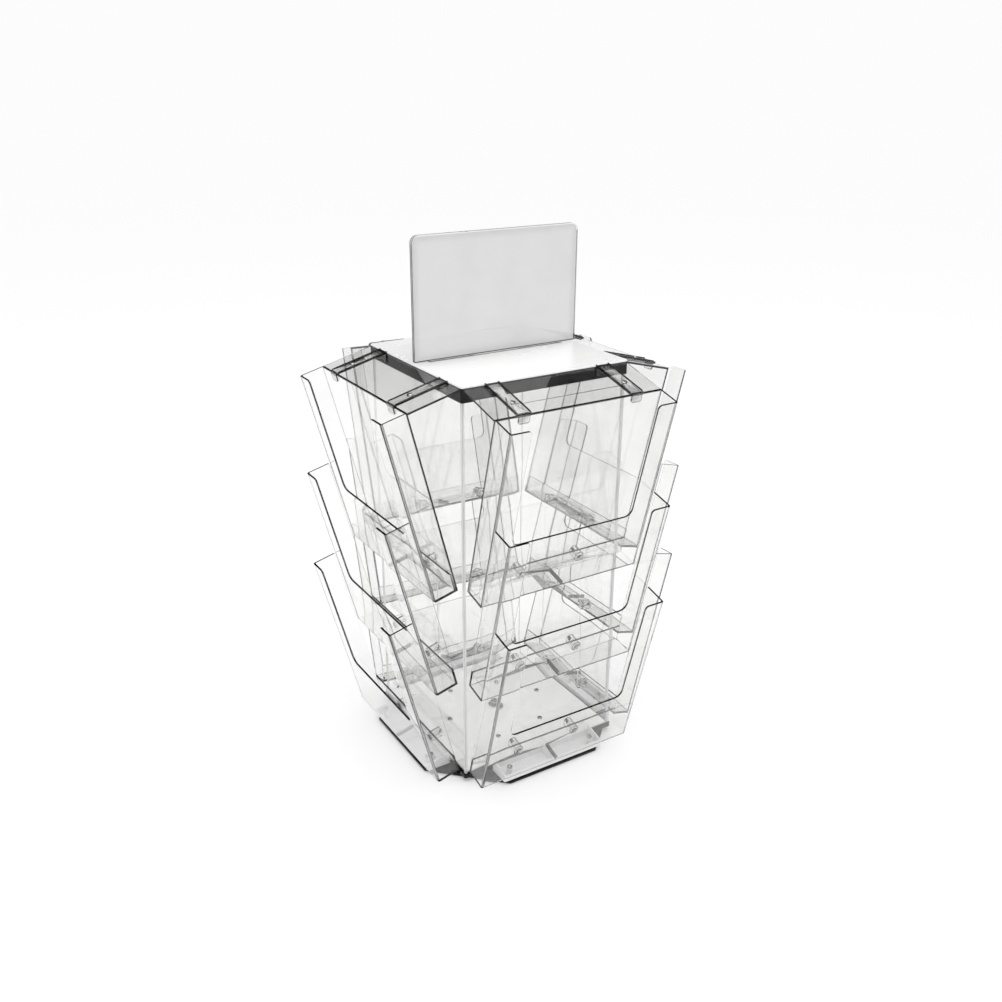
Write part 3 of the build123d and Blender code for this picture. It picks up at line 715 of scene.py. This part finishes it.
def make_fasteners():
    screws = fastener_tree("cross_screw", recessed=True)
    rivets = fastener_tree("domed_rivet", recessed=False)
    screw = {"Head radius": SCREW_HEAD_RADIUS, "Head height": SCREW_HEAD_HEIGHT,
             "Shank radius": SCREW_SHANK_RADIUS, "Recess width": RECESS_WIDTH}

    screw_in = (POCKET_TOP_OUT - ARM_SCREW_OUT) / math.cos(TILT)
    arm_seats = [seat for side in SIDES
                 for seat in paired_seats(side, 0, ARM_SCREW_AT, screw_in, ARM_WALL)]
    grow_piece("clip_arm_screws", arm_seats, screws, {**screw, "Shank length": ARM_SCREW_LENGTH})

    lowest = len(TIERS) - 1
    floor_up = WALL - POCKET_HEIGHT
    foot_seats = [seat for side in SIDES
                  for seat in paired_seats(side, lowest, FOOT_SCREW_AT, -FOOT_SCREW_IN, floor_up)]
    grow_piece("foot_bracket_screws", foot_seats, screws, {**screw, "Shank length": FOOT_SCREW_LENGTH})

    deck_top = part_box("deck_plate")[1].z
    race_seats = ring_seats(RACE_SCREWS, RACE_SCREW_CIRCLE, deck_top)
    grow_piece("race_screws_upper", race_seats, screws, {**screw, "Shank length": RACE_SCREW_LENGTH})

    panel_in = -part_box("core_panel_front")[1].y
    to_panel = (POCKET_TOP_OUT - panel_in) / math.cos(TILT)
    lean = (POCKET_HEIGHT - RIVET_UP) * math.tan(TILT)
    shank_length = to_panel - lean + WALL + RIVET_TAIL
    rivet_seats = [seat for side in SIDES for tier in range(len(TIERS))
                   for seat in paired_seats(side, tier, RIVET_AT, -WALL, RIVET_UP - POCKET_HEIGHT,
                                            math.pi / 2)]
    grow_piece("pocket_rivets", rivet_seats, rivets,
               {"Head radius": RIVET_HEAD_RADIUS, "Head height": RIVET_HEAD_HEIGHT,
                "Shank radius": RIVET_SHANK_RADIUS, "Shank length": shank_length})

    low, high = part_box("bearing_balls")
    grow_piece("bearing_balls", [Matrix.Identity(4)], ball_ring_tree(),
               {"Count": BALLS, "Circle radius": BALL_TRACK, "Ball radius": BALL_RADIUS,
                "Height": (low.z + high.z) / 2})


# ---------------------------------------------------------------- camera and studio
LENS = 37.40
EYE = (-0.6647, -1.0757, 0.8508)
YAW, PITCH, ROLL = 0.5595, 0.3920, 0.0052   # radians
FLOOR_SIZE = 30.0
FLOOR_GREY = 0.8
FLOOR_GLOW = 0.175             # whitens the floor to the eye and lights nothing else
BACKDROP = 0.975               # brightness of the sky to the eye, level with the far floor
LAMP_POWER = 12.0
LAMP_SIZE = 1.6
LAMP_HEIGHT = 2.2
LAMP_FORWARD = 0.2
SURROUND = ((0.0, 0.02), (0.66, 0.05), (0.93, 1.0))   # height in the sky, brightness in reflections
CLEAR_BOUNCES = 40             # enough for a look right through the stand and back
SHADOW_BOUNCES = 60
GLOSS_BOUNCES = 8
DULL_BOUNCES = 3


def set_camera():
    """Stands in front of the rack's left corner and looks a little down on it."""
    data = bpy.data.cameras.new("camera")
    data.lens = LENS
    camera = bpy.data.objects.new("camera", data)
    along = math.cos(PITCH)
    forward = Vector((math.sin(YAW) * along, math.cos(YAW) * along, -math.sin(PITCH)))
    right = Vector((math.cos(YAW), -math.sin(YAW), 0))
    up = right.cross(forward)
    level = Matrix((right, up, -forward)).transposed()
    camera.matrix_world = Matrix.Translation(EYE) @ level.to_4x4() @ Matrix.Rotation(ROLL, 4, "Z")
    bpy.context.scene.collection.objects.link(camera)
    bpy.context.scene.camera = camera


def lay_floor():
    bpy.ops.mesh.primitive_plane_add(size=FLOOR_SIZE)
    floor = bpy.context.object
    floor.name = "floor"
    material = bpy.data.materials.new("floor")
    material.use_nodes = True
    tree = material.node_tree
    shader = tree.nodes["Principled BSDF"]
    shader.inputs["Base Color"].default_value = grey(FLOOR_GREY)
    shader.inputs["Roughness"].default_value = 0.9
    shader.inputs["Specular IOR Level"].default_value = 0.0
    path = tree.nodes.new("ShaderNodeLightPath").outputs
    seen = any_of(tree, path["Is Camera Ray"], path["Is Glossy Ray"], path["Is Transmission Ray"])
    glow = tree.nodes.new("ShaderNodeEmission")
    both = tree.nodes.new("ShaderNodeAddShader")
    wire(tree,
         (times(tree, seen, FLOOR_GLOW), glow.inputs["Strength"]),
         (shader.outputs[0], both.inputs[0]),
         (glow.outputs[0], both.inputs[1]),
         (both.outputs[0], tree.nodes["Material Output"].inputs["Surface"]))
    floor.data.materials.append(material)


def light_world():
    """White to the eye and to dull surfaces; gloss and clear sheet see a darker horizon."""
    world = bpy.data.worlds.new("studio")
    bpy.context.scene.world = world
    world.use_nodes = True
    tree = world.node_tree
    where = tree.nodes.new("ShaderNodeTexCoord")
    split = tree.nodes.new("ShaderNodeSeparateXYZ")
    ramp = tree.nodes.new("ShaderNodeValToRGB")
    stops = ramp.color_ramp.elements
    while len(stops) < len(SURROUND):
        stops.new(0.5)
    for stop, (position, level) in zip(stops, SURROUND):
        stop.position = position
        stop.color = grey(level)
    path = tree.nodes.new("ShaderNodeLightPath").outputs
    mirrored = any_of(tree, path["Is Glossy Ray"], path["Is Transmission Ray"])
    white = place(tree, "ShaderNodeMix", {6: grey(1), 7: grey(BACKDROP)}, data_type="RGBA")
    mix = place(tree, "ShaderNodeMix", data_type="RGBA")
    wire(tree,
         (where.outputs["Generated"], split.inputs[0]),
         (split.outputs["Z"], ramp.inputs[0]),
         (path["Is Camera Ray"], white.inputs[0]),
         (white.outputs[2], mix.inputs[6]),
         (mirrored, mix.inputs[0]),
         (ramp.outputs[0], mix.inputs[7]),
         (mix.outputs[2], tree.nodes["Background"].inputs["Color"]))


def hang_lamp():
    data = bpy.data.lights.new("overhead", "AREA")
    data.shape = "SQUARE"
    data.size = LAMP_SIZE
    data.energy = LAMP_POWER
    lamp = bpy.data.objects.new("overhead", data)
    lamp.location = (0, -LAMP_FORWARD, LAMP_HEIGHT)
    bpy.context.scene.collection.objects.link(lamp)


def set_render():
    """Enough bounces for light to cross every clear wall of the stand."""
    scene = bpy.context.scene
    scene.view_settings.view_transform = "Standard"
    scene.cycles.max_bounces = CLEAR_BOUNCES
    scene.cycles.transmission_bounces = CLEAR_BOUNCES
    scene.cycles.transparent_max_bounces = SHADOW_BOUNCES
    scene.cycles.glossy_bounces = GLOSS_BOUNCES
    scene.cycles.diffuse_bounces = DULL_BOUNCES
    scene.cycles.use_denoising = True


paint_frame()
finish_sheets()
make_fasteners()
set_camera()
lay_floor()
light_world()
hang_lamp()
set_render()
